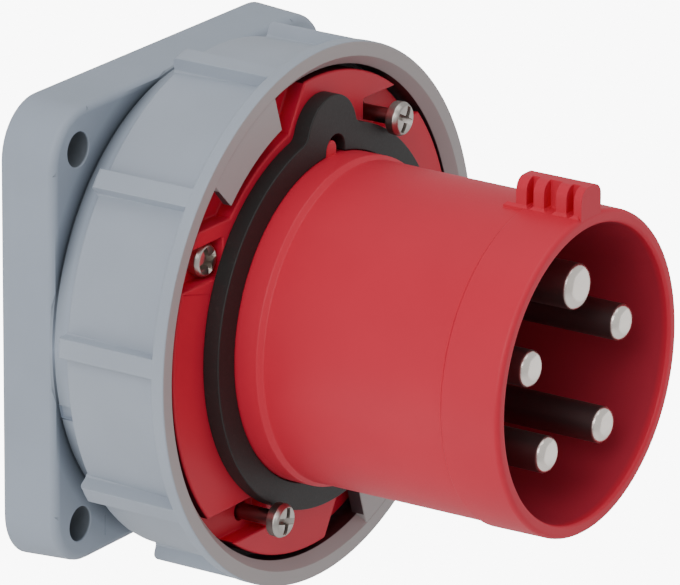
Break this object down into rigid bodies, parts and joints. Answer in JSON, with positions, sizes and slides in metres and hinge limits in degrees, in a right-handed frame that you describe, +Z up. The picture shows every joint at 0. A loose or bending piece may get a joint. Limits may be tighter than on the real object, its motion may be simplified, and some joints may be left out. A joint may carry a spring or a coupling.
{
  "type": "industrial panel inlet",
  "caption": "Flange-mounted industrial power inlet: red shroud with contact pins and a key, black gasket, and a turning grey bayonet ring on a square housing.",
  "frame": {"origin": "centre of the square flange on its flat rear face, the face that meets the panel", "axes": "-Y points out of the panel along the shroud towards its mouth, +Y into the panel, +Z up towards the key block, +X to the right as seen from the mouth"},
  "size_m": [0.119, 0.114, 0.119],
  "materials": {
    "housing_grey": "fine matt moulded grey, slightly bluish",
    "ring_grey": "satin moulded grey",
    "insert_red": "satin moulded signal red",
    "seal_black": "matt black rubber",
    "gasket_black": "matt black rubber",
    "carrier_grey": "matt dark grey moulding",
    "screw_steel": "bright plated steel",
    "clamp_steel": "plated steel",
    "pin_nickel": "bright nickel plate on brass"
  },
  "bodies": {
    "base": {"flange_housing": "housing_grey", "panel_seal": "seal_black", "insert_seal": "seal_black", "plug_insert": "insert_red", "shroud": "insert_red", "front_gasket": "gasket_black", "terminal_carrier": "carrier_grey", "fixing_screw_upper": "screw_steel", "fixing_screw_left": "screw_steel", "fixing_screw_lower": "screw_steel", "fixing_screw_right": "screw_steel", "pin_earth": "pin_nickel", "pin_line_one": "pin_nickel", "pin_line_two": "pin_nickel", "pin_line_three": "pin_nickel", "pin_neutral": "pin_nickel", "clamp_screw_earth": "clamp_steel", "clamp_screw_line_one": "clamp_steel", "clamp_screw_line_two": "clamp_steel", "clamp_screw_line_three": "clamp_steel", "clamp_screw_neutral": "clamp_steel", "carrier_screw_one": "screw_steel", "carrier_screw_two": "screw_steel", "carrier_screw_three": "screw_steel"},
    "ring": {"bayonet_ring": "ring_grey"}
  },
  "joints": [
    {"name": "ring_turn", "type": "hinge", "parent": "base", "child": "ring", "pos_m": [0, 0, 0], "axis": [0, -1, 0], "range_deg": [-9, 5]}
  ]
}
